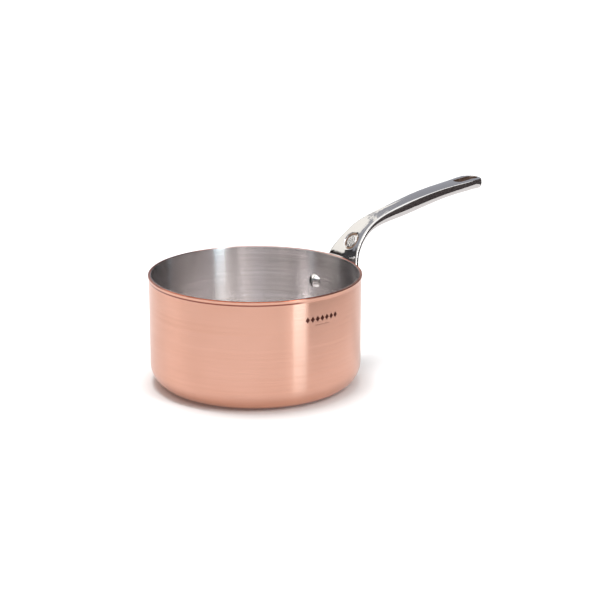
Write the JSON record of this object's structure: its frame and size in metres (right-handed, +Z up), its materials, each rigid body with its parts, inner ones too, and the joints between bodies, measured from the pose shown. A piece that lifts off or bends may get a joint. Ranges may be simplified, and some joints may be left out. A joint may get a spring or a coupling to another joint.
{
  "type": "saucepan",
  "caption": "Straight-sided copper saucepan with a stainless lining, a flared rim and a long cast stainless handle, riveted on, that rises outward and ends in a hanging eye.",
  "frame": {"origin": "centre of the flat base, on the surface that the pan stands on", "axes": "+Z up along the pan's axis; +X out along the handle; +Y to the left of someone who looks out along the handle"},
  "size_m": [0.3382, 0.1856, 0.1544],
  "materials": {
    "copper": "finely brushed copper, satin to bright, brushed round the wall",
    "lining_steel": "stainless steel, satin, brushed round the wall",
    "cast_steel": "cast stainless steel, polished",
    "rivet_steel": "stainless steel, polished domed heads"
  },
  "bodies": {
    "root": {"copper_body": "copper", "steel_lining": "lining_steel", "handle": "cast_steel", "rivet_left": "rivet_steel", "rivet_right": "rivet_steel", "rivet_lower": "rivet_steel"}
  },
  "joints": []
}
